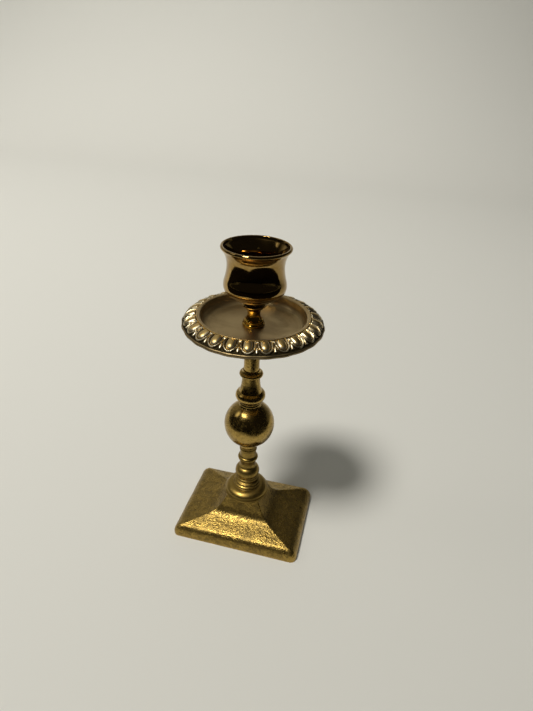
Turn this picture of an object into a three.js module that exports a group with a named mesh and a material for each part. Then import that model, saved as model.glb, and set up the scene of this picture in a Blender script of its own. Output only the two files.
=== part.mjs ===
// Brass candlestick: a stack of turned brass pieces on a rectangular cast base,
// clamped together by one tie rod, with a drip pan and a candle cup on top.
// Millimetres, +Z up. The stack's axis is Z and the floor is Z = 0.
import * as THREE from "three";

// ---- Driving dimensions ----------------------------------------------------
const TAU = Math.PI * 2;
const GAP = 0.3; // clearance between neighbouring pieces
const FINE = 36; // segments round the wide pieces
const MIDDLE = 28; // segments round the ball and the foot
const COARSE = 20; // segments round the slim pieces

const BASE_LENGTH = 68.4; // along X
const BASE_WIDTH = 50.8; // along Y
const BASE_HEIGHT = 20.7;
const BASE_CORNER = 3.2; // corner radius at the floor
const BASE_INNER_CORNER = 0.8; // smallest corner radius inside the casting
const BASE_TOP_LENGTH = 17.4; // the small table that the foot stands on
const BASE_TOP_WIDTH = 17.0;
const BASE_TOP_CORNER = 1.6;
const BASE_WALL = 2.0;

const ROD_RADIUS = 2.0; // M4 tie rod
const BORE_RADIUS = ROD_RADIUS + GAP;
const ROD_BOTTOM = 11.2;
const ROD_TOP = 112.0;
const NUT_ACROSS_FLATS = 7.0;
const NUT_HEIGHT = 3.2;
const WASHER_RADIUS = 5.5;
const WASHER_THICKNESS = 1.0;

// Joint planes of the stack, from the floor up
const FOOT_Z = BASE_HEIGHT + GAP;
const KNOP_Z = 29.3;
const STEM_RING_Z = 42.2;
const BALL_Z = 51.2;
const VASE_Z = 78.6;
const COLLAR_Z = 94.9;
const SHAFT_Z = 98.4;
const PAN_FLOOR_Z = 122.3; // upper face of the drip pan's floor
const PAN_THICKNESS = 1.6;
const CUP_STEM_Z = PAN_FLOOR_Z + GAP;
const CUP_Z = 131.0;
const RIM_Z = 159.2; // top of the candle cup, the object's full height

const FOOT_RADIUS = 12.0;
const KNOP_RADIUS = 6.5;
const BALL_RADIUS = 12.75;
const BALL_CENTRE_Z = 66.2;
const KNOP_CENTRE_Z = 34.2;
const BEAD_RADIUS = 7.45; // the widest part of the vase
const BEAD_CENTRE_Z = 83.6;
const COLLAR_RADIUS = 5.8;
const SHAFT_RADIUS = 3.75;
const PAN_RADIUS = 32.5;
const PAN_RING_RADIUS = 26.0;
const PAN_DISH_RADIUS = 24.2;
const PAN_RING_Z = 127.8;
const PAN_EDGE_Z = 124.1;
const PAN_LIP_Z = 122.4;
const RIM_RADIUS = 15.4;
const WAIST_RADIUS = 12.55;
const SHOULDER_RADIUS = 13.95;
const CANDLE_RADIUS = 11.0; // a standard 22 mm candle
const SOCKET_RADIUS = CANDLE_RADIUS + 0.25;
const SOCKET_FLOOR_Z = 139.6;
const SPIGOT_LENGTH = 5.4; // the cup stem's, inside the shaft
const SCREW_HEAD_RADIUS = 3.4;
const SCREW_HEAD_HEIGHT = 2.0;
const SCREW_SHANK_RADIUS = 1.2;

// ---- Materials -------------------------------------------------------------
function brass(color, roughness) {
  return new THREE.MeshStandardMaterial({ color, roughness, metalness: 1.0 });
}

const castBrass = brass(0x8f7433, 0.5);
const wornBrass = brass(0x9a7c3c, 0.28);
const panBrass = brass(0x86683a, 0.34);
const cupBrass = brass(0xa8853c, 0.16);
const steel = new THREE.MeshStandardMaterial({ color: 0x8d8c88, roughness: 0.45, metalness: 1.0 });

// ---- Profile helpers -------------------------------------------------------
// A profile is a list of [radius, height] points. An outline walked upwards on
// the outside and back down on the inside gives a closed ring with a bore.
function arc(centreR, centreZ, radiusR, radiusZ, fromDegrees, toDegrees, steps) {
  const points = [];
  for (let i = 0; i <= steps; i += 1) {
    const angle = THREE.MathUtils.degToRad(fromDegrees + ((toDegrees - fromDegrees) * i) / steps);
    points.push([centreR + radiusR * Math.cos(angle), centreZ + radiusZ * Math.sin(angle)]);
  }
  return points;
}

function curve(controlPoints, steps) {
  const spline = new THREE.SplineCurve(controlPoints.map(([r, z]) => new THREE.Vector2(r, z)));
  return spline.getPoints(steps).map((point) => [point.x, point.y]);
}

function turned(name, profile, segments, material) {
  const outline = profile.map(([r, z]) => new THREE.Vector2(Math.max(r, 0), z));
  const first = outline[0];
  const last = outline[outline.length - 1];
  if (first.x > 0 || last.x > 0) {
    outline.push(first.clone());
  }
  const mesh = new THREE.Mesh(new THREE.LatheGeometry(outline, segments), material);
  mesh.rotation.x = Math.PI / 2; // the lathe's Y axis becomes Z
  mesh.name = name;
  return mesh;
}

function bored(outside, radius, bottomZ, topZ) {
  return [[radius, bottomZ], ...outside, [radius, topZ]];
}

// ---- Base casting: a hollow hipped ogee ------------------------------------
// The slope of the casting, from the outer edge (0) to the table (1), as
// [share of the way in, height]. All four sides use it, so they meet in hips.
function baseSlope() {
  const ovolo = arc(0.27, 1.2, 0.27, 6.5, 180, 115, 5);
  const shoulder = [[0.27, 7.8], [0.42, 8.5], [0.56, 9.2], [0.68, 10.2]];
  const cavetto = [[0.78, 11.8], [0.86, 14.0], [0.93, 17.2], [0.975, 19.4]];
  return [[0, 0], ...ovolo, ...shoulder, ...cavetto, [1, BASE_HEIGHT]];
}

function roundedRectangle(halfX, halfY, radius, z) {
  const steps = 4;
  const points = [];
  const corners = [[1, 1, 0], [-1, 1, 90], [-1, -1, 180], [1, -1, 270]];
  for (const [signX, signY, startDegrees] of corners) {
    for (let i = 0; i <= steps; i += 1) {
      const angle = THREE.MathUtils.degToRad(startDegrees + (90 * i) / steps);
      const x = signX * (halfX - radius) + radius * Math.cos(angle);
      const y = signY * (halfY - radius) + radius * Math.sin(angle);
      points.push([x, y, z]);
    }
  }
  return points;
}

function baseLoop(share, z, inset) {
  const halfX = THREE.MathUtils.lerp(BASE_LENGTH / 2, BASE_TOP_LENGTH / 2, share) - inset;
  const halfY = THREE.MathUtils.lerp(BASE_WIDTH / 2, BASE_TOP_WIDTH / 2, share) - inset;
  const radius = THREE.MathUtils.lerp(BASE_CORNER, BASE_TOP_CORNER, share);
  return roundedRectangle(halfX, halfY, Math.max(radius - inset, BASE_INNER_CORNER), z);
}

function circleLoop(radius, z, count) {
  const points = [];
  for (let i = 0; i < count; i += 1) {
    // starts in the corner direction that roundedRectangle starts in
    const angle = (TAU * (i + 0.5)) / count;
    points.push([radius * Math.cos(angle), radius * Math.sin(angle), z]);
  }
  return points;
}

// Joins a closed chain of loops, all with the same number of points, into one
// closed skin. Loops run anticlockwise from above, up the outside, down inside.
function skinLoops(loops) {
  const count = loops[0].length;
  const positions = loops.flat(2);
  const indices = [];
  for (let row = 0; row < loops.length; row += 1) {
    const next = (row + 1) % loops.length;
    for (let i = 0; i < count; i += 1) {
      const j = (i + 1) % count;
      const a = row * count + i;
      const b = row * count + j;
      const c = next * count + j;
      const d = next * count + i;
      indices.push(a, b, c, a, c, d);
    }
  }
  const geometry = new THREE.BufferGeometry();
  geometry.setAttribute("position", new THREE.Float32BufferAttribute(positions, 3));
  geometry.setIndex(indices);
  geometry.computeVertexNormals();
  return geometry;
}

function baseCasting() {
  const slope = baseSlope();
  const outside = slope.map(([share, z]) => baseLoop(share, z, 0));
  const count = outside[0].length;
  const hole = [
    circleLoop(BORE_RADIUS, BASE_HEIGHT, count),
    circleLoop(BORE_RADIUS, BASE_HEIGHT - BASE_WALL, count),
  ];
  const innerSlope = [...slope].reverse().filter(([, z]) => z > BASE_WALL);
  const inside = innerSlope.map(([share, z]) => baseLoop(share, z - BASE_WALL, BASE_WALL));
  const rim = baseLoop(0, 0, BASE_WALL);
  const geometry = skinLoops([...outside, ...hole, ...inside, rim]);
  const mesh = new THREE.Mesh(geometry, castBrass);
  mesh.name = "base_casting";
  return mesh;
}

// ---- Fasteners under the base ----------------------------------------------
function baseWasher() {
  const top = BASE_HEIGHT - BASE_WALL - GAP;
  const bottom = top - WASHER_THICKNESS;
  const outside = [[WASHER_RADIUS, bottom], [WASHER_RADIUS, top]];
  return turned("base_washer", bored(outside, BORE_RADIUS, bottom, top), COARSE, steel);
}

function baseNut() {
  const top = BASE_HEIGHT - BASE_WALL - GAP - WASHER_THICKNESS - GAP;
  const shape = new THREE.Shape();
  const cornerRadius = NUT_ACROSS_FLATS / Math.sqrt(3);
  for (let i = 0; i < 6; i += 1) {
    const angle = (TAU * i) / 6;
    const x = cornerRadius * Math.cos(angle);
    const y = cornerRadius * Math.sin(angle);
    if (i === 0) {
      shape.moveTo(x, y);
    } else {
      shape.lineTo(x, y);
    }
  }
  const bore = new THREE.Path();
  bore.absarc(0, 0, BORE_RADIUS, 0, TAU, true);
  shape.holes.push(bore);
  const options = { depth: NUT_HEIGHT, bevelEnabled: false, curveSegments: COARSE };
  const mesh = new THREE.Mesh(new THREE.ExtrudeGeometry(shape, options), steel);
  mesh.position.z = top - NUT_HEIGHT;
  mesh.name = "base_nut";
  return mesh;
}

function tieRod() {
  const chamfer = 0.4;
  const profile = [
    [0, ROD_BOTTOM],
    [ROD_RADIUS - chamfer, ROD_BOTTOM],
    [ROD_RADIUS, ROD_BOTTOM + chamfer],
    [ROD_RADIUS, ROD_TOP - chamfer],
    [ROD_RADIUS - chamfer, ROD_TOP],
    [0, ROD_TOP],
  ];
  return turned("tie_rod", profile, COARSE, steel);
}

// ---- Turned stem pieces ----------------------------------------------------
function foot() {
  const top = KNOP_Z - GAP;
  const outside = [
    [FOOT_RADIUS, FOOT_Z],
    [FOOT_RADIUS, FOOT_Z + 0.7],
    ...arc(7.3, FOOT_Z + 0.8, 4.2, 3.5, 10, 88, 5),
    [6.9, FOOT_Z + 4.5],
    ...arc(6.5, FOOT_Z + 5.3, 0.8, 0.7, -60, 60, 3),
    [6.3, FOOT_Z + 6.2],
    ...arc(6.0, FOOT_Z + 7.0, 0.7, 0.6, -50, 70, 3),
    [4.9, top],
  ];
  return turned("foot", bored(outside, BORE_RADIUS, FOOT_Z, top), MIDDLE, wornBrass);
}

function lowerKnop() {
  const top = STEM_RING_Z - GAP;
  const outside = [
    [4.9, KNOP_Z],
    [5.9, KNOP_Z + 0.5],
    [5.9, KNOP_Z + 1.3],
    [5.5, KNOP_Z + 1.6],
    ...arc(KNOP_RADIUS - 3.6, KNOP_CENTRE_Z, 3.6, 3.9, -45, 62, 6),
    ...curve([[4.2, 38.4], [4.0, 39.4], [4.15, 40.6], [4.5, top]], 3),
  ];
  return turned("lower_knop", bored(outside, BORE_RADIUS, KNOP_Z, top), COARSE, wornBrass);
}

function stemRing() {
  const top = BALL_Z - GAP;
  const outside = [
    [4.5, STEM_RING_Z],
    ...arc(4.2, STEM_RING_Z + 1.6, 1.1, 1.2, -65, 65, 4),
    [4.25, STEM_RING_Z + 3.2],
    [4.2, top - 2.2],
    [4.55, top - 1.7],
    [4.55, top - 0.9],
    [4.2, top - 0.5],
    [4.2, top],
  ];
  return turned("stem_ring", bored(outside, BORE_RADIUS, STEM_RING_Z, top), COARSE, wornBrass);
}

function ballKnop() {
  const top = VASE_Z - GAP;
  const outside = [
    [4.2, BALL_Z],
    [4.5, BALL_Z + 1.2],
    ...arc(0, BALL_CENTRE_Z, BALL_RADIUS, BALL_RADIUS, -69, 64, 14),
    [5.2, top],
  ];
  return turned("ball_knop", bored(outside, BORE_RADIUS, BALL_Z, top), MIDDLE, wornBrass);
}

function vase() {
  const top = COLLAR_Z - GAP;
  const outside = [
    [5.5, VASE_Z],
    [5.5, VASE_Z + 0.5],
    [5.1, VASE_Z + 1.1],
    [5.3, VASE_Z + 2.1],
    ...arc(BEAD_RADIUS - 2.0, BEAD_CENTRE_Z, 2.0, 2.3, -70, 55, 5),
    ...curve([[5.6, 86.2], [5.0, 88.4], [4.55, 91.0], [4.3, top]], 4),
  ];
  return turned("vase", bored(outside, BORE_RADIUS, VASE_Z, top), COARSE, wornBrass);
}

function collar() {
  const top = SHAFT_Z - GAP;
  const outside = [
    [4.5, COLLAR_Z],
    ...arc(4.7, COLLAR_Z + 1.1, COLLAR_RADIUS - 4.7, 1.05, -75, 60, 5),
    [4.6, COLLAR_Z + 2.4],
    [4.1, top],
  ];
  return turned("collar", bored(outside, BORE_RADIUS, COLLAR_Z, top), COARSE, wornBrass);
}

// Solid rod with a threaded socket at each end: the tie rod screws in from
// below and the cup stem's spigot from above.
function shaft() {
  const top = PAN_FLOOR_Z - PAN_THICKNESS - GAP;
  const rodSocketTop = ROD_TOP + GAP;
  const spigotSocketBottom = top - SPIGOT_LENGTH - 2 * GAP;
  const profile = [
    [0, rodSocketTop],
    [BORE_RADIUS, rodSocketTop],
    [BORE_RADIUS, SHAFT_Z],
    [SHAFT_RADIUS, SHAFT_Z],
    [SHAFT_RADIUS, top - 1.6],
    [SHAFT_RADIUS + 1.2, top],
    [BORE_RADIUS, top],
    [BORE_RADIUS, spigotSocketBottom],
    [0, spigotSocketBottom],
  ];
  return turned("shaft", profile, COARSE, wornBrass);
}

// ---- Drip pan --------------------------------------------------------------
function dripPan() {
  const wall = PAN_THICKNESS;
  const underZ = PAN_FLOOR_Z - wall;
  const profile = [
    [BORE_RADIUS, underZ],
    [17.5, underZ],
    ...curve([[19.5, underZ + 0.3], [22.6, underZ + 2.0], [PAN_DISH_RADIUS + 0.6, 125.2]], 4),
    [PAN_RING_RADIUS - 0.6, 125.5],
    [PAN_RADIUS - 1.6, PAN_LIP_Z],
    [PAN_RADIUS - 0.3, PAN_LIP_Z],
    ...arc(PAN_RADIUS - 0.8, (PAN_EDGE_Z + PAN_LIP_Z) / 2, 0.8, 0.85, -60, 75, 4),
    ...curve([[31.0, 125.0], [29.3, 126.2], [PAN_RING_RADIUS + 0.5, 127.2]], 4),
    [PAN_RING_RADIUS + 0.1, 126.9],
    [PAN_RING_RADIUS, PAN_RING_Z - 0.35],
    [PAN_RING_RADIUS - 0.3, PAN_RING_Z],
    [PAN_DISH_RADIUS + 0.4, PAN_RING_Z - 0.1],
    [PAN_DISH_RADIUS, PAN_RING_Z - 0.4],
    ...curve([[23.7, 127.0], [22.0, 124.6], [19.5, 123.0], [16.5, PAN_FLOOR_Z]], 5),
    [BORE_RADIUS, PAN_FLOOR_Z],
  ];
  return turned("drip_pan", profile, FINE, panBrass);
}

// ---- Candle cup, its stem and its screw ------------------------------------
function cupStem() {
  const spigotBottom = PAN_FLOOR_Z - PAN_THICKNESS - GAP - SPIGOT_LENGTH;
  const top = CUP_Z - GAP;
  const screwHole = 1.5;
  const profile = [
    [0, spigotBottom],
    [ROD_RADIUS, spigotBottom],
    [ROD_RADIUS, CUP_STEM_Z],
    [5.1, CUP_STEM_Z],
    [5.1, CUP_STEM_Z + 0.7],
    [4.5, CUP_STEM_Z + 1.1],
    ...arc(3.9, CUP_STEM_Z + 1.9, 0.7, 0.7, -40, 70, 3),
    ...curve([[3.7, CUP_STEM_Z + 2.8], [3.0, CUP_STEM_Z + 4.4], [2.9, CUP_STEM_Z + 5.6]], 3),
    ...curve([[3.1, CUP_STEM_Z + 6.7], [3.5, CUP_STEM_Z + 7.6], [4.3, top]], 2),
    [screwHole, top],
    [screwHole, top - 5.0],
    [0, top - 5.0],
  ];
  return turned("cup_stem", profile, COARSE, cupBrass);
}

function candleCup() {
  const headSeatZ = SOCKET_FLOOR_Z - SCREW_HEAD_HEIGHT - 2 * GAP;
  const screwHole = 1.8;
  const profile = [
    [screwHole, CUP_Z],
    [4.6, CUP_Z],
    ...arc(4.4, CUP_Z + 1.3, 1.1, 0.9, -60, 60, 3),
    [4.7, CUP_Z + 2.4],
    ...curve([[5.4, CUP_Z + 3.0], [7.6, 135.3], [9.6, 136.1]], 3),
    [9.9, 136.7],
    ...curve([[11.0, 137.3], [12.2, 138.1], [13.0, 139.0]], 3),
    ...curve([[13.6, 139.6], [SHOULDER_RADIUS, 141.4], [13.8, 143.2], [13.2, 145.6]], 4),
    ...curve([[12.75, 148.0], [WAIST_RADIUS, 150.8], [12.85, 153.4], [13.5, 155.3], [14.3, 156.8]], 5),
    ...arc(RIM_RADIUS - 0.8, RIM_Z - 0.8, 0.8, 0.8, -50, 130, 5),
    ...curve([[13.7, 157.8], [12.5, 155.4], [11.5, 153.0], [SOCKET_RADIUS, 150.6]], 4),
    [SOCKET_RADIUS, SOCKET_FLOOR_Z],
    [SCREW_HEAD_RADIUS + GAP, SOCKET_FLOOR_Z],
    [SCREW_HEAD_RADIUS + GAP, headSeatZ],
    [screwHole, headSeatZ],
  ];
  return turned("candle_cup", profile, FINE, cupBrass);
}

function cupScrew() {
  const headBottom = SOCKET_FLOOR_Z - SCREW_HEAD_HEIGHT - GAP;
  const headTop = headBottom + SCREW_HEAD_HEIGHT;
  const tip = CUP_Z - GAP - 4.2;
  const slotDepth = 0.7;
  const profile = [
    [0, tip],
    [SCREW_SHANK_RADIUS, tip],
    [SCREW_SHANK_RADIUS, headBottom],
    [SCREW_HEAD_RADIUS, headBottom],
    [SCREW_HEAD_RADIUS, headTop - 0.3],
    [SCREW_HEAD_RADIUS - 0.3, headTop],
    [0.9, headTop],
    [0.9, headTop - slotDepth],
    [0, headTop - slotDepth],
  ];
  return turned("cup_screw", profile, COARSE, steel);
}

// ---- Assembly --------------------------------------------------------------
const candlestick = new THREE.Group();
candlestick.name = "brass_candlestick";
candlestick.add(baseCasting(), baseWasher(), baseNut(), tieRod());
candlestick.add(foot(), lowerKnop(), stemRing(), ballKnop(), vase(), collar(), shaft());
candlestick.add(dripPan(), cupStem(), candleCup(), cupScrew());

export default candlestick;
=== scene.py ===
"""The looks of a brass candlestick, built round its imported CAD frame.

Turned brass pieces stand on a rectangular cast base and carry an egg-and-dart drip pan and
a polished candle cup. Profiles are in millimetres; meshes are in metres.
"""

import math

import bpy
import numpy as np
from mathutils import Matrix, Vector, noise


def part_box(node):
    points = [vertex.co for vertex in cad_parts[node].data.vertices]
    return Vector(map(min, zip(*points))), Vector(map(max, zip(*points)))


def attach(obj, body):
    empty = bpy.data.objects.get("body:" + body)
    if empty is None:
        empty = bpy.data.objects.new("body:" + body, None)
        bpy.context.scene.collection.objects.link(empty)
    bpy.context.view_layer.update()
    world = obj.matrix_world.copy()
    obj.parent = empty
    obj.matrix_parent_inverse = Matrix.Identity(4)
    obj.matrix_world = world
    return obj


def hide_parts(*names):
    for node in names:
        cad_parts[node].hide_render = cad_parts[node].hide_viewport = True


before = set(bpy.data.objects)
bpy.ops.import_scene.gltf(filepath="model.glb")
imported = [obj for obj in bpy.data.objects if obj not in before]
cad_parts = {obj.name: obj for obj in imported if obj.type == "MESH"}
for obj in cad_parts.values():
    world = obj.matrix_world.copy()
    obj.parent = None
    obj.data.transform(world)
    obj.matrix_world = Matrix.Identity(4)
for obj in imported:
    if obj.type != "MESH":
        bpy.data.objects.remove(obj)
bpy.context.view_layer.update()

# ---- Driving values, in millimetres ----------------------------------------
MM = 0.001
FINEST = 0.4  # longest step along a visible profile
EDGE_SOFTNESS = 0.16  # radius worn onto a turned edge
SMOOTH_TURN = 14  # degrees; where a profile turns by less, it isn't softened
SEAM = 0.06  # width left open at a joint between two pieces
JOINT_GAP = 0.3  # width of the same joint in the frame
BORE = 2.3  # radius of the hole for the tie rod
SIDES = 144  # segments round a stem piece
CUP_SIDES = 200

BASE_CORNER = 3.2  # radius of the corners at the floor
BASE_HIP = 0.7  # radius along the hips, above the corners
BASE_TABLE = (17.4, 17.0)  # the flat top
BASE_WALL = 2.0
BASE_LONG_STEPS = 150
BASE_SHORT_STEPS = 112
BASE_CORNER_STEPS = 8
BASE_CORNER_END = 0.3  # share of the way in to the table where the corner becomes a hip

EGGS = 25
STEPS_PER_EGG = 30
FIRST_EGG = 280.4  # degrees anticlockwise from +X
PAN_GROOVE = 26.1  # radius where the border starts
PAN_RING = PAN_GROOVE - 0.95  # radius of the smooth ring inside the groove
PAN_THICKNESS = 1.6
PAN_SCALLOP = 0.12  # half the depth of the scallops round the rim
EGG_CENTRE = 2.6  # distance from the groove to an egg's widest place
EGG_HALF_WIDTH = 2.02
EGG_AHEAD = 2.95  # from there to the egg's outer end
EGG_BEHIND = 5.6
EGG_HEIGHT = 1.1
HUSK_HALF_WIDTH = 2.82
HUSK_AHEAD = 3.55
HUSK_BEHIND = 14.0
HUSK_HEIGHT = 0.8
HUSK_THICKNESS = 0.4
DART_HEIGHT = 0.72  # of the darts and of the fillings between the eggs' inner ends
BAND_HEIGHT = 0.3  # of the plain band outside the eggs
RELIEF_SUNK = 0.4  # how far the relief's ground lies below the border's profile
RIM_CREST = -0.25  # crest values, which the material shows as grime and painted shade below 0 and polish above, on the pan also a painted reflection
# The ring's edge is given a gold crest value: a painted highlight line
RING_EDGE_HIGHLIGHT = 0.5

SHAFT_RADIUS = 3.75
SHAFT_FLARE = 1.2  # how much wider the shaft ends under the pan
ROD_HOLE_DEPTH = 13.9
SPIGOT_HOLE_DEPTH = 6.2
SPIGOT_RADIUS = 2.0
SCREW_HOLE_RADIUS = 1.5
SCREW_HOLE_DEPTH = 5.2

CANDLE_SOCKET = 11.25  # radius
SOCKET_FLOOR = 8.6  # height above the cup's underside
SCREW_PASSAGE_RADIUS = 1.8
SCREW_RECESS_RADIUS = 3.7
SCREW_RECESS_DEPTH = 2.6

# How uneven each surface is: the size, depth and seed of its layers of lumps
CAST_SKIN = ((0.85, 0.075, 3.1), (2.3, 0.035, 8.4), (10, 0.12, 5.2))
STEM_SKIN = ((5, 0.03, 1.7), (1.6, 0.012, 6.3))
SHAFT_SKIN = ((5, 0.03, 1.7),)
PAN_SKIN = ((9, 0.015, 2.2),)
CUP_STEM_SKIN = ((4, 0.015, 4.4),)
CUP_SKIN = ((8, 0.03, 7.7), (3, 0.006, 2.1))


# ---- Profiles --------------------------------------------------------------
def span(node):
    """Bottom, top and outer radius of a CAD node."""
    low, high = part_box(node)
    return low.z / MM, high.z / MM, high.x / MM


def arc(centre_r, centre_z, radius_r, radius_z, start, end, steps=14):
    """Points on an ellipse, between two angles in degrees."""
    points = []
    for i in range(steps + 1):
        angle = math.radians(start + (end - start) * i / steps)
        points.append((centre_r + radius_r * math.cos(angle), centre_z + radius_z * math.sin(angle)))
    return points


def curve(points, steps=10):
    """A Catmull-Rom curve through points, with steps to each span."""
    ends = [points[0], *points, points[-1]]
    result = []
    for a, b, c, d in zip(ends, ends[1:], ends[2:], ends[3:]):
        for i in range(steps):
            t = i / steps
            result.append(tuple(
                0.5 * (2 * q + (r - p) * t + (2 * p - 5 * q + 4 * r - s) * t * t
                       + (3 * q - p - 3 * r + s) * t ** 3)
                for p, q, r, s in zip(a, b, c, d)
            ))
    return [*result, tuple(points[-1])]


def soften(points, radius, closed):
    """Rounds every sharp corner of a profile, over less than half of the steps beside it."""
    result = []
    count = len(points)
    for i, point in enumerate(points):
        if not closed and i in (0, count - 1):
            result.append(point)
            continue
        here = Vector(point)
        back = Vector(points[i - 1]) - here
        ahead = Vector(points[(i + 1) % count]) - here
        if back.length < 1e-6 or ahead.length < 1e-6:
            continue
        if math.pi - back.angle(ahead) < math.radians(SMOOTH_TURN):
            result.append(point)
            continue
        start = here + back.normalized() * min(radius, back.length * 0.45)
        end = here + ahead.normalized() * min(radius, ahead.length * 0.45)
        for t in (0, 0.33, 0.67, 1):
            bend = start * (1 - t) ** 2 + here * (2 * t * (1 - t)) + end * t * t
            result.append(tuple(bend))
    return result


def refine(points, longest, closed):
    """Adds points until no step is longer than longest."""
    result = []
    following = [*points[1:], points[0]] if closed else points[1:]
    for a, b in zip(points, following):
        steps = max(1, math.ceil(math.dist(a, b) / longest))
        for i in range(steps):
            t = i / steps
            result.append((a[0] + (b[0] - a[0]) * t, a[1] + (b[1] - a[1]) * t))
    return result if closed else [*result, points[-1]]


# ---- Meshes ----------------------------------------------------------------
def new_piece(name, vertices, faces):
    mesh = bpy.data.meshes.new(name)
    mesh.from_pydata([tuple(v) for v in vertices * MM], [], faces)
    mesh.update()
    piece = bpy.data.objects.new(name, mesh)
    bpy.context.scene.collection.objects.link(piece)
    return piece


def ring_faces(rows, columns, closed):
    """Quads between rows of vertices that each go once round the axis."""
    faces = []
    for row in range(rows if closed else rows - 1):
        following = (row + 1) % rows
        for i in range(columns):
            j = (i + 1) % columns
            faces.append((row * columns + i, row * columns + j,
                          following * columns + j, following * columns + i))
    return faces


def turned(name, outline, sides=SIDES):
    """Turns an outline round Z. It closes on itself, or starts and ends on the axis."""
    closed = outline[0][0] > 0
    profile = refine(soften(outline, EDGE_SOFTNESS, closed), FINEST, closed)
    poles = []
    if not closed:
        poles = [profile[0][1], profile[-1][1]]
        profile = profile[1:-1]
    angles = np.arange(sides) * math.tau / sides
    radii = np.array([p[0] for p in profile])[:, None]
    heights = np.array([p[1] for p in profile])[:, None]
    grid = np.broadcast_arrays(radii * np.cos(angles), radii * np.sin(angles), heights)
    vertices = np.stack(grid, -1).reshape(-1, 3)
    faces = ring_faces(len(profile), sides, closed)
    if poles:
        first = len(vertices)
        last_row = first - sides
        vertices = np.vstack([vertices, [[0, 0, z] for z in poles]])
        faces += [((i + 1) % sides, i, first) for i in range(sides)]
        faces += [(last_row + i, last_row + (i + 1) % sides, first + 1) for i in range(sides)]
    return new_piece(name, vertices, faces)


def bored(outline, bottom, top):
    """Closes a stem piece's outline along the hole for the tie rod."""
    return [(BORE, bottom), *outline, (BORE, top)]


def positions(mesh):
    values = np.empty(len(mesh.vertices) * 3)
    mesh.vertices.foreach_get("co", values)
    return values.reshape(-1, 3)


def normals(mesh):
    values = np.empty(len(mesh.vertices) * 3)
    mesh.vertex_normals.foreach_get("vector", values)
    return values.reshape(-1, 3)


def push_out(piece, amount):
    """Moves each vertex along its normal, by millimetres."""
    mesh = piece.data
    moved = positions(mesh) + normals(mesh) * (amount * MM)[:, None]
    mesh.vertices.foreach_set("co", moved.ravel())
    mesh.update()


def lumps(piece, size, seed):
    """Smooth noise from -1 to 1 at each vertex, with lumps of that size in millimetres."""
    offset = Vector((seed, seed * 0.7, -seed))
    return np.array([noise.noise(v.co / (size * MM) + offset) for v in piece.data.vertices])


def roughen(piece, layers, where=1):
    """Moves the surface by layers of lumps, each given by its size, depth and seed."""
    push_out(piece, sum(lumps(piece, size, seed) * depth for size, depth, seed in layers) * where)


def mark_crests(piece, passes=14, reach=0.12):
    """Stores how far each vertex stands proud of its smoothed surroundings.

    The value is from -1 to 1, and 1 stands for reach millimetres.
    """
    mesh = piece.data
    edges = np.empty(len(mesh.edges) * 2, int)
    mesh.edges.foreach_get("vertices", edges)
    edges = edges.reshape(-1, 2)
    start = positions(mesh)
    count = np.bincount(edges.ravel(), minlength=len(start))[:, None]
    smooth = start.copy()
    for _ in range(passes):
        total = np.zeros_like(smooth)
        for axis in range(3):
            total[:, axis] += np.bincount(edges[:, 0], smooth[edges[:, 1], axis], len(start))
            total[:, axis] += np.bincount(edges[:, 1], smooth[edges[:, 0], axis], len(start))
        smooth = (smooth + total / count) / 2
    proud = ((start - smooth) * normals(mesh)).sum(1) / (reach * MM)
    attribute = mesh.attributes.new("crest", "FLOAT", "POINT")
    attribute.data.foreach_set("value", np.clip(proud, -1, 1).astype(np.float32))


def finish_piece(piece, node, material, sharp=50):
    """Shades a piece and puts it in its CAD node's place."""
    piece.data.materials.append(material)
    piece.data.shade_smooth()
    piece.data.set_sharp_from_angle(angle=math.radians(sharp))
    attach(piece, "root")
    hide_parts(node)


# ---- Material nodes --------------------------------------------------------
class Nodes:
    """A short way to add and link the nodes of a tree."""

    def __init__(self, tree):
        self.tree = tree

    def add(self, kind, inputs=None, **settings):
        node = self.tree.nodes.new(kind)
        for key, value in settings.items():
            setattr(node, key, value)
        for key, value in (inputs or {}).items():
            self.put(node.inputs[key], value)
        return node

    def put(self, socket, value):
        if isinstance(value, bpy.types.NodeSocket):
            self.tree.links.new(value, socket)
        else:
            socket.default_value = value

    def ramp(self, value, low, high, to_low=0.0, to_high=1.0):
        inputs = {"Value": value, "From Min": low, "From Max": high,
                  "To Min": to_low, "To Max": to_high}
        node = self.add("ShaderNodeMapRange", inputs, interpolation_type="SMOOTHSTEP")
        return node.outputs["Result"]

    def math(self, operation, a, b):
        return self.add("ShaderNodeMath", {0: a, 1: b}, operation=operation).outputs["Value"]

    def mix(self, share, a, b):
        node = self.add("ShaderNodeMix", data_type="RGBA")
        self.put(node.inputs["Factor"], share)
        self.put(node.inputs["A"], a)
        self.put(node.inputs["B"], b)
        return node.outputs["Result"]


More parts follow.
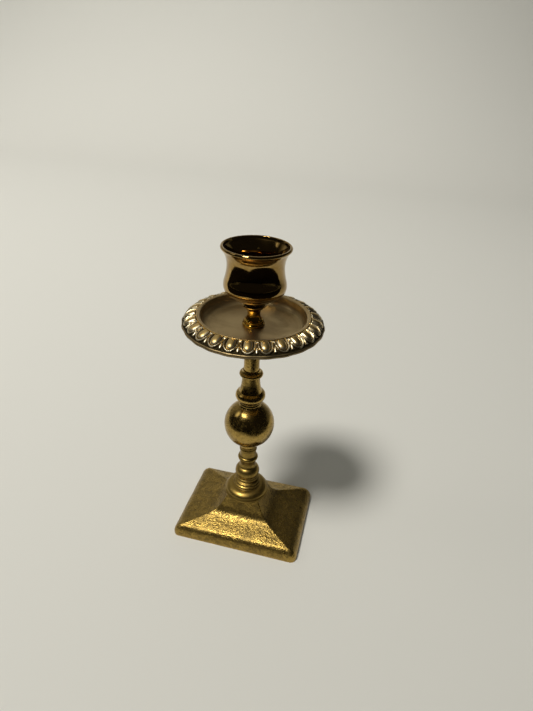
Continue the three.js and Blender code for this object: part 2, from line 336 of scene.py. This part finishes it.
class Surface(Nodes):
    """The nodes of a new material."""

    def __init__(self, name):
        self.material = bpy.data.materials.new(name)
        self.material.use_nodes = True
        super().__init__(self.material.node_tree)
        self.shader = self.tree.nodes["Principled BSDF"]
        self.place = self.add("ShaderNodeTexCoord").outputs["Object"]

    def noise(self, size, detail=4, roughness=0.55, vector=None, distortion=0.0):
        """Noise whose lumps are about size millimetres across."""
        inputs = {"Vector": vector or self.place, "Scale": 1 / (size * MM), "Detail": detail,
                  "Roughness": roughness, "Distortion": distortion}
        return self.add("ShaderNodeTexNoise", inputs).outputs["Fac"]

    def crest(self):
        return self.add("ShaderNodeAttribute", attribute_name="crest").outputs["Fac"]

    def turning_marks(self, size):
        """Fine rings round Z, as a lathe tool leaves."""
        parts = self.add("ShaderNodeSeparateXYZ", {0: self.place})
        across = self.add("ShaderNodeCombineXYZ", {0: parts.outputs[0], 1: parts.outputs[1]})
        radius = self.add("ShaderNodeVectorMath", {0: across.outputs[0]}, operation="LENGTH")
        ring = self.add("ShaderNodeCombineXYZ", {0: radius.outputs["Value"], 1: parts.outputs[2]})
        return self.noise(size, 3, 0.6, ring.outputs[0])

    def pits(self, size, share):
        """Small round pits: 1 inside a pit and 0 outside."""
        cells = self.add("ShaderNodeTexVoronoi", {"Vector": self.place, "Scale": 1 / (size * MM)})
        inside = self.ramp(cells.outputs["Distance"], 0.14, 0.26, 1.0, 0.0)
        chosen = self.add("ShaderNodeSeparateColor", {0: cells.outputs["Color"]}).outputs[0]
        return self.math("MULTIPLY", inside, self.math("LESS_THAN", chosen, share))

    def bump(self, height, depth, below=None):
        """Bump of that depth in millimetres."""
        inputs = {"Height": height, "Distance": depth * MM, "Strength": 1.0}
        node = self.add("ShaderNodeBump", inputs)
        if below is not None:
            self.put(node.inputs["Normal"], below)
        return node.outputs["Normal"]


def colour(red, green, blue):
    return (red, green, blue, 1.0)


# Near-black brown: grime in pits, and grime with painted shade in hollows
GRIME_AND_SHADE = colour(0.035, 0.022, 0.008)


def brass(name, bright, dull, gloss, mottle, pit_size, pit_share, pit_depth, marks, grain):
    """Worn brass: bright metal under patches of tarnish, grime and painted shade in hollows, polish on
    crests.

    gloss is the roughness of the bright and of the tarnished metal. mottle is the size of
    the patches. marks and grain are the depths of the turning rings and of the fine grain.
    """
    n = Surface(name)
    patches = n.noise(mottle, 6, 0.62, distortion=0.6)
    fine = n.noise(mottle * 0.2, 5, 0.7)
    blotches = n.math("ADD", n.math("MULTIPLY", patches, 0.5), n.math("MULTIPLY", fine, 0.5))
    tarnish = n.ramp(blotches, 0.42, 0.58)
    crest = n.crest()
    polished = n.ramp(crest, 0.12, 0.7)
    hollow = n.ramp(crest, -0.08, -0.75)
    pits = n.pits(pit_size, pit_share)
    metal = n.mix(tarnish, bright, dull)
    metal = n.mix(n.math("MULTIPLY", polished, 0.7), metal, bright)
    # Hollows darkened: grime and painted shade
    metal = n.mix(n.math("MULTIPLY", hollow, 0.85), metal, GRIME_AND_SHADE)
    metal = n.mix(n.math("MULTIPLY", pits, 0.8), metal, GRIME_AND_SHADE)
    n.put(n.shader.inputs["Base Color"], metal)
    n.shader.inputs["Metallic"].default_value = 1.0
    rough = n.ramp(tarnish, 0.0, 1.0, gloss[0], gloss[1])
    rough = n.math("ADD", rough, n.math("MULTIPLY", hollow, 0.25))
    n.put(n.shader.inputs["Roughness"], n.math("ADD", rough, n.math("MULTIPLY", pits, 0.3)))
    surface = n.bump(n.turning_marks(0.35), marks)
    surface = n.bump(n.noise(0.5, 5, 0.65), grain, surface)
    surface = n.bump(n.math("SUBTRACT", 1.0, pits), pit_depth, surface)
    n.put(n.shader.inputs["Normal"], surface)
    return n.material


def relief_brass(name):
    """The drip pan: satin brown brass; pale on worn relief with a painted reflection; recesses black with
    grime and painted shade.
    """
    n = Surface(name)
    patches = n.noise(14, 6, 0.6, distortion=0.5)
    tarnish = n.ramp(patches, 0.38, 0.66)
    crest = n.crest()
    gold = n.ramp(crest, 0.1, 0.4)
    wear_and_painted_light = n.ramp(crest, 0.5, 0.9)
    hollow = n.ramp(crest, -0.02, -0.6)
    metal = n.mix(tarnish, colour(0.50, 0.37, 0.18), colour(0.37, 0.265, 0.125))
    metal = n.mix(gold, metal, colour(0.62, 0.44, 0.17))
    # Highest crests pale: worn metal with a painted reflection of the pale room
    metal = n.mix(wear_and_painted_light, metal, colour(0.64, 0.565, 0.39))
    # Recesses near black: grime and painted shade
    metal = n.mix(hollow, metal, colour(0.04, 0.03, 0.014))
    n.put(n.shader.inputs["Base Color"], metal)
    n.shader.inputs["Metallic"].default_value = 1.0
    rough = n.ramp(tarnish, 0.0, 1.0, 0.34, 0.42)
    n.put(n.shader.inputs["Roughness"], n.math("ADD", rough, n.math("MULTIPLY", hollow, 0.3)))
    surface = n.bump(n.turning_marks(0.25), 0.012)
    surface = n.bump(n.noise(0.6, 5, 0.6), 0.012, surface)
    n.put(n.shader.inputs["Normal"], surface)
    return n.material


def steel(name):
    n = Surface(name)
    stain = n.ramp(n.noise(2.5, 5, 0.6), 0.45, 0.7)
    metal = n.mix(stain, colour(0.42, 0.41, 0.39), colour(0.16, 0.10, 0.06))
    n.put(n.shader.inputs["Base Color"], metal)
    n.shader.inputs["Metallic"].default_value = 1.0
    n.put(n.shader.inputs["Roughness"], n.ramp(stain, 0.0, 1.0, 0.32, 0.65))
    n.put(n.shader.inputs["Normal"], n.bump(n.noise(0.3, 4, 0.6), 0.02))
    return n.material


# ---- Base casting ----------------------------------------------------------
def rounded_rectangle(half_x, half_y, radius):
    """Corner arcs joined by evenly divided sides, anticlockwise."""
    points = []
    corners = [(1, 1, 0), (-1, 1, 90), (-1, -1, 180), (1, -1, 270)]
    sides = [BASE_LONG_STEPS, BASE_SHORT_STEPS] * 2
    arcs = []
    for sign_x, sign_y, start in corners:
        centre = (sign_x * (half_x - radius), sign_y * (half_y - radius))
        arcs.append(arc(*centre, radius, radius, start, start + 90, BASE_CORNER_STEPS))
    for i, steps in enumerate(sides):
        points += arcs[i]
        start = Vector(arcs[i][-1])
        end = Vector(arcs[(i + 1) % 4][0])
        points += [tuple(start.lerp(end, k / steps)) for k in range(1, steps)]
    return points


def base_casting(material):
    _, height, half_x = span("base_casting")
    half_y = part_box("base_casting")[1].y / MM
    run = half_y - BASE_TABLE[1] / 2

    def loop(share, z, inset):
        table_x, table_y = BASE_TABLE[0] / 2, BASE_TABLE[1] / 2
        x = half_x + (table_x - half_x) * share - inset
        y = half_y + (table_y - half_y) * share - inset
        corner = BASE_HIP + (BASE_CORNER - BASE_HIP) * max(0, 1 - share / BASE_CORNER_END) ** 1.5
        return [(a, b, z) for a, b in rounded_rectangle(x, y, max(corner - inset, 0.4))]

    ovolo = arc(0.27, 1.2, 0.27, 6.1, 180, 112, 14)
    shoulder = [(0.27, 7.55), (0.42, 8.5), (0.56, 9.4), (0.68, 10.35)]
    cavetto = [(0.78, 11.8), (0.86, 14.0), (0.93, 17.2), (0.975, 19.4), (1, height)]
    slope = [(0, 0), *ovolo, *curve([ovolo[-1], *shoulder, *cavetto], 8)[1:]]
    steps = refine([(share * run, z) for share, z in slope], FINEST, False)
    outside = [loop(r / run, z, 0) for r, z in steps]
    columns = len(outside[0])
    hole = []
    for z in (height, height - BASE_WALL):
        angles = [math.tau * (i + 0.5) / columns for i in range(columns)]
        hole.append([(BORE * math.cos(a), BORE * math.sin(a), z) for a in angles])
    inner_steps = [(share, z - BASE_WALL) for share, z in reversed(slope) if z - BASE_WALL > 0.05]
    inside = [loop(share, z, BASE_WALL) for share, z in inner_steps[::2]]
    rows = [*outside, *hole, *inside, loop(0, 0, BASE_WALL)]
    vertices = np.array(rows).reshape(-1, 3)
    piece = new_piece("base_casting_brass", vertices, ring_faces(len(rows), columns, True))
    skin = np.arange(len(rows) * columns) < len(outside) * columns
    above_floor = positions(piece.data)[:, 2] > 0.4 * MM
    roughen(piece, CAST_SKIN, skin & above_floor)
    mark_crests(piece, passes=12, reach=0.1)
    finish_piece(piece, "base_casting", material, 40)


# ---- Turned stem -----------------------------------------------------------
def stem_piece(node, outline, bottom, top, material):
    piece = turned(node + "_brass", bored(outline, bottom, top))
    roughen(piece, STEM_SKIN)
    mark_crests(piece)
    finish_piece(piece, node, material)


def closed_up(node):
    """A node's bottom, its top with the joint above it drawn together, and its radius."""
    bottom, top, radius = span(node)
    return bottom, top + JOINT_GAP - SEAM, radius


def foot(material):
    bottom, top, radius = closed_up("foot")
    low = bottom - JOINT_GAP + SEAM
    outline = [
        (radius, low),
        (radius, bottom + 0.7),
        *arc(7.3, bottom + 0.8, 4.2, 3.5, 10, 88),
        (6.9, bottom + 4.5),
        *arc(6.5, bottom + 5.3, 0.8, 0.7, -60, 60, 8),
        (6.3, bottom + 6.2),
        *arc(6.0, bottom + 7.0, 0.7, 0.6, -50, 70, 8),
        (4.9, top),
    ]
    stem_piece("foot", outline, low, top, material)


def lower_knop(material):
    bottom, top, radius = closed_up("lower_knop")
    outline = [
        (4.9, bottom),
        (5.9, bottom + 0.5),
        (5.9, bottom + 1.3),
        (5.5, bottom + 1.6),
        *arc(radius - 3.6, bottom + 4.9, 3.6, 3.9, -45, 62),
        *curve([(4.2, bottom + 9.1), (4.0, bottom + 10.1), (4.15, bottom + 11.3), (4.5, top)]),
    ]
    stem_piece("lower_knop", outline, bottom, top, material)


def stem_ring(material):
    bottom, top, radius = closed_up("stem_ring")
    outline = [
        (4.5, bottom),
        *arc(radius - 1.1, bottom + 1.6, 1.1, 1.2, -65, 65),
        (4.25, bottom + 3.2),
        (4.2, top - 2.4),
        (4.55, top - 1.9),
        (4.55, top - 1.1),
        (4.2, top - 0.7),
        (4.2, top),
    ]
    stem_piece("stem_ring", outline, bottom, top, material)


def ball_knop(material):
    bottom, top, radius = closed_up("ball_knop")
    outline = [
        (4.2, bottom),
        (4.5, bottom + 1.2),
        *arc(0, bottom + 15.0, radius, radius, -69, 64, 60),
        (5.2, top),
    ]
    stem_piece("ball_knop", outline, bottom, top, material)


def vase(material):
    bottom, top, radius = closed_up("vase")
    outline = [
        (5.5, bottom),
        (5.5, bottom + 0.5),
        (5.1, bottom + 1.1),
        (5.3, bottom + 2.1),
        *arc(radius - 2.0, bottom + 5.0, 2.0, 2.3, -70, 55),
        *curve([(5.6, bottom + 7.6), (5.0, bottom + 9.8), (4.55, bottom + 12.4), (4.3, top)]),
    ]
    stem_piece("vase", outline, bottom, top, material)


def collar(material):
    bottom, top, radius = closed_up("collar")
    outline = [
        (4.5, bottom),
        *arc(radius - 1.1, bottom + 1.1, 1.1, 1.05, -75, 60),
        *curve([(4.7, bottom + 2.2), (4.3, bottom + 2.8), (4.15, top)], 6),
    ]
    stem_piece("collar", outline, bottom, top, material)


def shaft(material):
    bottom, top, _ = closed_up("shaft")
    outline = [
        (0, bottom + ROD_HOLE_DEPTH),
        (BORE, bottom + ROD_HOLE_DEPTH),
        (BORE, bottom),
        (SHAFT_RADIUS, bottom),
        (SHAFT_RADIUS, top - 1.9),
        (SHAFT_RADIUS + SHAFT_FLARE, top),
        (BORE, top),
        (BORE, top - SPIGOT_HOLE_DEPTH),
        (0, top - SPIGOT_HOLE_DEPTH),
    ]
    piece = turned("shaft_brass", outline)
    roughen(piece, SHAFT_SKIN)
    mark_crests(piece)
    finish_piece(piece, "shaft", material)


# ---- Drip pan with its egg-and-dart border ---------------------------------
def smooth_step(value, low, high):
    t = np.clip((value - low) / (high - low), 0, 1)
    return t * t * (3 - 2 * t)


def dome(distance, half_width):
    return np.sqrt(np.clip(1 - (distance / half_width) ** 2, 0, 1))


def egg_and_dart(across, from_dart, along, length):
    """Height of the relief, in millimetres.

    across is the distance from an egg's centre line and from_dart that from the dart's.
    along is the distance from the groove, and length is how far the border runs.
    """
    ahead = along - EGG_CENTRE
    egg_end = np.where(ahead > 0, EGG_AHEAD, EGG_BEHIND)
    egg = 1 - (across / EGG_HALF_WIDTH) ** 2 - np.abs(ahead / egg_end) ** 2.3
    egg = EGG_HEIGHT * np.sqrt(np.clip(egg, 0, 1)) * smooth_step(along, 0.2, 0.6)
    husk_end = np.where(ahead > 0, HUSK_AHEAD, HUSK_BEHIND)
    husk_distance = (np.sqrt((across / HUSK_HALF_WIDTH) ** 2 + (ahead / husk_end) ** 2) - 1) * 2.9
    husk = HUSK_HEIGHT * np.exp(-(husk_distance / HUSK_THICKNESS) ** 2)
    ear = DART_HEIGHT * smooth_step(across, 2.7, 3.0) * smooth_step(along, 1.4, 0.7)
    dart_half_width = 0.16 + 0.55 * smooth_step(along, 2.6, 5.6)
    dart = DART_HEIGHT * dome(from_dart, dart_half_width) * smooth_step(along, 6.3, 5.9)
    relief = np.maximum.reduce([egg, husk, ear, dart])
    outer_band = smooth_step(along, length - 0.35, length - 0.2)
    relief = relief * (1 - outer_band) + BAND_HEIGHT * outer_band
    ends = smooth_step(along, 0.0, 0.3) * smooth_step(along, length, length - 0.15)
    return (relief - RELIEF_SUNK) * ends


def pan_outline():
    """The pan's profile in three parts: the underside and rim, the border, the ring and dish."""
    bottom, top, radius = span("drip_pan")
    floor = bottom + PAN_THICKNESS
    edge = floor + 0.95
    under = [
        (BORE, bottom),
        (18.2, bottom),
        *curve([(20.4, bottom + 0.3), (23.2, bottom + 1.9), (24.9, bottom + 4.5)]),
        (25.4, bottom + 4.8),
        (radius - 1.6, bottom + 1.7),
        (radius - 0.3, bottom + 1.7),
        *arc(radius - 0.8, edge, 0.8, 0.85, -60, 60, 10),
    ]
    border = curve([(radius - 0.55, edge + 0.8), (31.0, top - 2.8), (29.3, top - 1.6),
                    (26.6, top - 0.6), (PAN_GROOVE, top - 0.95)])
    inner = [
        (PAN_RING + 0.85, top - 0.5),
        (PAN_RING + 0.7, top),
        (PAN_RING - 0.55, top - 0.1),
        *curve([(PAN_RING - 0.95, top - 0.45), (24.0, top - 1.3), (23.4, top - 3.3),
                (22.2, floor + 0.75), (20.2, floor + 0.2), (15.5, floor)]),
        (BORE, floor),
    ]
    under = refine(soften(under, 0.2, False), 0.5, False)
    border = refine(border, 0.17, False)
    inner = refine(soften(inner, 0.08, False), 0.5, False)
    return under, border, inner


def drip_pan(material):
    under, border, inner = pan_outline()
    radius = span("drip_pan")[2]
    profile = np.array([*under, *border, *inner])
    row = np.arange(len(profile))
    on_border = slice(len(under), len(under) + len(border))

    sides = EGGS * STEPS_PER_EGG
    turn = np.arange(sides) * math.tau / sides
    pitch = math.tau / EGGS
    phase = (turn - math.radians(FIRST_EGG)) / pitch
    from_egg = np.abs(phase - np.round(phase)) * pitch
    radii = np.repeat(profile[:, :1], sides, 1)
    heights = np.repeat(profile[:, 1:], sides, 1)
    steps = np.hypot(*np.diff(profile[on_border][::-1], axis=0).T)
    along = np.concatenate([[0], np.cumsum(steps)])[::-1]
    slope = np.gradient(profile[on_border], axis=0)
    outward = np.stack([slope[:, 1], -slope[:, 0]], 1)
    outward /= np.linalg.norm(outward, axis=1)[:, None]
    across = from_egg[None, :] * profile[on_border, :1]
    from_dart = (pitch / 2 - from_egg)[None, :] * profile[on_border, :1]
    relief = egg_and_dart(across, from_dart, along[:, None], along.max())
    radii[on_border] += outward[:, :1] * relief
    heights[on_border] += outward[:, 1:] * relief
    scallop = PAN_SCALLOP * np.cos(phase * math.tau)
    rim = (profile[:, 0] > radius - 0.7) & (row < on_border.start)
    radii[rim] += scallop - PAN_SCALLOP

    grid = np.stack([radii * np.cos(turn), radii * np.sin(turn), heights], -1)
    faces = ring_faces(len(profile), sides, True)
    piece = new_piece("drip_pan_brass", grid.reshape(-1, 3), faces)
    roughen(piece, PAN_SKIN)
    mark_crests(piece, passes=10, reach=0.08)
    ring_edge = (profile[:, 0] > PAN_RING + 0.4) & (row >= on_border.stop)
    colour_relief(piece, relief, along, on_border.start, rim, ring_edge)
    finish_piece(piece, "drip_pan", material, 60)


def colour_relief(piece, relief, along, first_row, rim, ring_edge):
    """Says through crest what is worn and given a painted reflection: husks and darts most, eggs less,
    recesses and rim not.

    The border's rows start at first_row. rim and ring_edge say which rows those two take.
    """
    sides = relief.shape[1]
    crest = piece.data.attributes["crest"]
    values = np.empty(len(crest.data))
    crest.data.foreach_get("value", values)
    low_ornament = smooth_step(relief, -0.08, 0.16) * smooth_step(relief, 0.47, 0.41)
    egg_ornament = smooth_step(relief, -0.1, 0.3)
    # Recesses go below 0: dark with grime and painted shade
    recess = smooth_step(relief, 0.02, -0.22)
    wear_and_painted_light = np.maximum(low_ornament, 0.42 * egg_ornament) - recess
    length = along.max()
    # The border's groove and outer edge go dark too: grime and painted shade
    edges = np.maximum(smooth_step(along, 0.35, 0.1), smooth_step(along, length - 0.3, length - 0.1))
    wear_and_painted_light = wear_and_painted_light * (1 - edges[:, None]) - 0.7 * edges[:, None]
    border = slice(first_row * sides, first_row * sides + relief.size)
    values[border] = np.clip(wear_and_painted_light.ravel(), -1, 1)
    # The rim dark: grime and painted shade
    values[np.repeat(rim, sides)] = RIM_CREST
    # The ring's edge: a thin gold painted highlight line
    values[np.repeat(ring_edge, sides)] = RING_EDGE_HIGHLIGHT
    crest.data.foreach_set("value", values.astype(np.float32))


# ---- Candle cup ------------------------------------------------------------
def cup_stem(material):
    bottom, top, _ = closed_up("cup_stem")
    seat = span("drip_pan")[0] + PAN_THICKNESS + SEAM
    outline = [
        (0, bottom),
        (SPIGOT_RADIUS, bottom),
        (SPIGOT_RADIUS, seat),
        (5.1, seat),
        (5.1, seat + 0.9),
        (4.5, seat + 1.3),
        *arc(3.9, seat + 2.1, 0.7, 0.7, -40, 70, 8),
        *curve([(3.7, seat + 3.0), (3.0, seat + 4.6), (2.9, seat + 5.8), (3.4, seat + 7.6),
                (4.3, top)]),
        (SCREW_HOLE_RADIUS, top),
        (SCREW_HOLE_RADIUS, top - SCREW_HOLE_DEPTH),
        (0, top - SCREW_HOLE_DEPTH),
    ]
    piece = turned("cup_stem_brass", outline)
    roughen(piece, CUP_STEM_SKIN)
    mark_crests(piece)
    finish_piece(piece, "cup_stem", material)


def candle_cup(material):
    bottom, top, radius = span("candle_cup")
    socket = bottom + SOCKET_FLOOR
    head_seat = socket - SCREW_RECESS_DEPTH
    outline = [
        (SCREW_PASSAGE_RADIUS, bottom),
        (4.6, bottom),
        *arc(4.4, bottom + 1.3, 1.1, 0.9, -60, 60),
        (4.7, bottom + 2.4),
        *curve([(5.4, bottom + 3.0), (7.6, bottom + 4.3), (9.6, bottom + 5.1)]),
        (9.9, bottom + 5.7),
        *curve([(10.9, bottom + 6.2), (12.1, bottom + 7.1), (12.95, bottom + 8.1)]),
        *curve([(13.6, bottom + 8.6), (13.95, bottom + 10.3), (13.8, bottom + 12.2),
                (13.2, bottom + 14.6), (12.75, bottom + 17.0), (12.55, bottom + 19.8),
                (12.85, bottom + 22.4), (13.5, bottom + 24.3), (14.3, top - 2.3)]),
        *arc(radius - 0.75, top - 0.75, 0.75, 0.75, -50, 130, 20),
        *curve([(13.8, top - 1.4), (12.5, top - 3.8), (11.5, top - 6.2), (CANDLE_SOCKET, top - 8.6)]),
        (CANDLE_SOCKET, socket),
        (SCREW_RECESS_RADIUS, socket),
        (SCREW_RECESS_RADIUS, head_seat),
        (SCREW_PASSAGE_RADIUS, head_seat),
    ]
    piece = turned("candle_cup_brass", outline, CUP_SIDES)
    roughen(piece, CUP_SKIN)
    mark_crests(piece)
    finish_piece(piece, "candle_cup", material)


# ---- Studio ----------------------------------------------------------------
FLOOR_FRONT = -4.0  # metres
SWEEP_START = 1.0
SWEEP_RADIUS = 0.9
SWEEP_TOP = 0.95
FLOOR_HALF_WIDTH = 5.0
LAMP_AIM = (-0.85, 0.65, 0.0)  # the pool of light lies behind the candlestick, to its left
LAMP_CONE = 60  # degrees
LAMP_COLOUR = (1.0, 0.975, 0.92)
CARD_HEIGHT = 0.001
# Where the black card starts, past which the brass mirrors painted darkness in place of the lit floor:
# a blunt point in front of the candlestick, opening out to both sides
PAINTED_DARK_EDGE = [(-3.0, 0.75), (-0.25, -0.05), (-0.05, -0.24),
                  (0.1, -0.08), (0.4, 0.1), (3.0, 1.9)]
# What the brass mirrors of the room: dark, but lit to the left and behind
ROOM_DARK = colour(0.012, 0.011, 0.010)
ROOM_LIT = colour(0.36, 0.345, 0.30)
ROOM_ON_PAPER = colour(0.15, 0.15, 0.135)  # the room's light on matt things
ROOM_BACKDROP = colour(0.36, 0.36, 0.335)  # what the camera sees past the paper


def plain_material(name, base, socket, value):
    material = bpy.data.materials.new(name)
    material.use_nodes = True
    shader = material.node_tree.nodes["Principled BSDF"]
    shader.inputs["Base Color"].default_value = base
    shader.inputs[socket].default_value = value
    return material


def studio_floor():
    """Paper that lies flat and then sweeps up behind the candlestick."""
    sweep = arc(SWEEP_START, SWEEP_RADIUS, SWEEP_RADIUS, SWEEP_RADIUS, 270, 360, 40)
    profile = [(FLOOR_FRONT, 0.0), *sweep, (SWEEP_START + SWEEP_RADIUS, SWEEP_TOP)]
    vertices = [(x, y, z) for y, z in profile for x in (-FLOOR_HALF_WIDTH, FLOOR_HALF_WIDTH)]
    faces = [(2 * i, 2 * i + 1, 2 * i + 3, 2 * i + 2) for i in range(len(profile) - 1)]
    floor = new_piece("studio_floor", np.array(vertices) / MM, faces)
    floor.data.shade_smooth()
    paper = plain_material("studio_paper", colour(0.76, 0.753, 0.705), "Roughness", 0.7)
    floor.data.materials.append(paper)


def painted_dark_reflection():
    """A black card in front of the lit floor, seen only in the brass: a painted dark reflection of the
    room.
    """
    vertices = []
    for x, y in PAINTED_DARK_EDGE:
        vertices += [(x, y, CARD_HEIGHT), (x, FLOOR_FRONT, CARD_HEIGHT)]
    faces = [(2 * i + 1, 2 * i + 3, 2 * i + 2, 2 * i) for i in range(len(PAINTED_DARK_EDGE) - 1)]
    card = new_piece("dark_room_card", np.array(vertices) / MM, faces)
    black = plain_material("black_card", colour(0.01, 0.008, 0.006), "Specular IOR Level", 0.0)
    card.data.materials.append(black)
    card.visible_camera = False
    card.visible_diffuse = False
    card.visible_shadow = False


def lamp(name, place, radius, power):
    light = bpy.data.lights.new(name, "SPOT")
    light.shadow_soft_size = radius
    light.spot_size = math.radians(LAMP_CONE)
    light.spot_blend = 1.0
    light.energy = power
    light.color = LAMP_COLOUR
    lamp_object = bpy.data.objects.new(name, light)
    lamp_object.location = place
    aim = Vector(LAMP_AIM) - Vector(place)
    lamp_object.rotation_mode = "QUATERNION"
    lamp_object.rotation_quaternion = aim.to_track_quat("-Z", "Y")
    bpy.context.scene.collection.objects.link(lamp_object)


def room_light():
    """A plain backdrop to the camera, faint light on matt things, and a dark room in reflections."""
    world = bpy.data.worlds.new("room")
    world.use_nodes = True
    n = Nodes(world.node_tree)
    direction = n.add("ShaderNodeTexCoord").outputs["Generated"]
    parts = n.add("ShaderNodeSeparateXYZ", {0: direction})
    left = n.ramp(parts.outputs[0], 0.35, -0.25)
    back = n.ramp(parts.outputs[1], -0.1, 0.5)
    path = n.add("ShaderNodeLightPath")
    reflected = n.mix(n.math("MULTIPLY", left, back), ROOM_DARK, ROOM_LIT)
    unseen = n.mix(path.outputs["Is Glossy Ray"], ROOM_ON_PAPER, reflected)
    light = n.mix(path.outputs["Is Camera Ray"], unseen, ROOM_BACKDROP)
    n.put(n.tree.nodes["Background"].inputs["Color"], light)
    bpy.context.scene.world = world


# ---- Camera ----------------------------------------------------------------
CAMERA_PLACE = (0.0494, -0.1962, 0.2230)
CAMERA_HEADING = -12.21  # degrees clockwise from +Y
CAMERA_PITCH = 30.0  # degrees below the horizon
CAMERA_ROLL = -3.34  # degrees
CAMERA_LENS = 25.05  # millimetres, on a 36 mm long side


def camera():
    data = bpy.data.cameras.new("camera")
    data.sensor_width = 36
    data.lens = CAMERA_LENS
    data.clip_start = 0.005
    view = bpy.data.objects.new("camera", data)
    turn = Matrix.Rotation(math.radians(-CAMERA_HEADING), 4, "Z")
    tilt = Matrix.Rotation(math.radians(90 - CAMERA_PITCH), 4, "X")
    roll = Matrix.Rotation(math.radians(-CAMERA_ROLL), 4, "Z")
    view.matrix_world = Matrix.Translation(CAMERA_PLACE) @ turn @ tilt @ roll
    bpy.context.scene.collection.objects.link(view)
    bpy.context.scene.camera = view


# ---- The scene -------------------------------------------------------------
camera()
studio_floor()
painted_dark_reflection()
lamp("main_lamp", place=(-1.16, -1.44, 3.55), radius=0.5, power=570)
lamp("side_lamp", place=(-2.45, -0.35, 1.9), radius=0.7, power=30)
room_light()
bpy.context.scene.view_settings.view_transform = "Standard"

DULL = colour(0.26, 0.172, 0.045)  # tarnished stem
cast_brass = brass(
    "cast_brass", bright=colour(0.40, 0.265, 0.065), dull=colour(0.21, 0.142, 0.04),
    gloss=(0.27, 0.36), mottle=4, pit_size=0.9, pit_share=0.35, pit_depth=0.05, marks=0.0, grain=0.14)
turned_brass = brass(
    "turned_brass", bright=colour(0.44, 0.295, 0.082), dull=DULL,
    gloss=(0.16, 0.3), mottle=6, pit_size=0.9, pit_share=0.35, pit_depth=0.05, marks=0.006, grain=0.008)
satin_brass = brass(
    "satin_brass", bright=colour(0.33, 0.22, 0.055), dull=DULL,
    gloss=(0.33, 0.43), mottle=4, pit_size=0.8, pit_share=0.15, pit_depth=0.03, marks=0.006, grain=0.014)
cup_brass = brass(
    "cup_brass", bright=colour(0.40, 0.262, 0.088), dull=colour(0.31, 0.195, 0.058),
    gloss=(0.06, 0.11), mottle=10, pit_size=2.2, pit_share=0.03, pit_depth=0.02, marks=0.003, grain=0.002)
# A more golden copy of the cup's brass for the cup stem: the extra gold is a painted reflection of the
# drip pan
pan_reflection_brass = brass(
    "pan_reflection_brass", bright=colour(0.60, 0.37, 0.06), dull=colour(0.42, 0.25, 0.04),
    gloss=(0.08, 0.14), mottle=8, pit_size=2.0, pit_share=0.03, pit_depth=0.02, marks=0.003, grain=0.003)
pan_brass = relief_brass("pan_brass")
dull_steel = steel("dull_steel")

base_casting(cast_brass)
for make in (foot, lower_knop, stem_ring):
    make(satin_brass)
for make in (ball_knop, vase, collar, shaft):
    make(turned_brass)
drip_pan(pan_brass)
cup_stem(pan_reflection_brass)
candle_cup(cup_brass)

for node in ("base_washer", "base_nut", "tie_rod", "cup_screw"):
    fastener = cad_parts[node]
    fastener.data.materials.clear()
    fastener.data.materials.append(dull_steel)
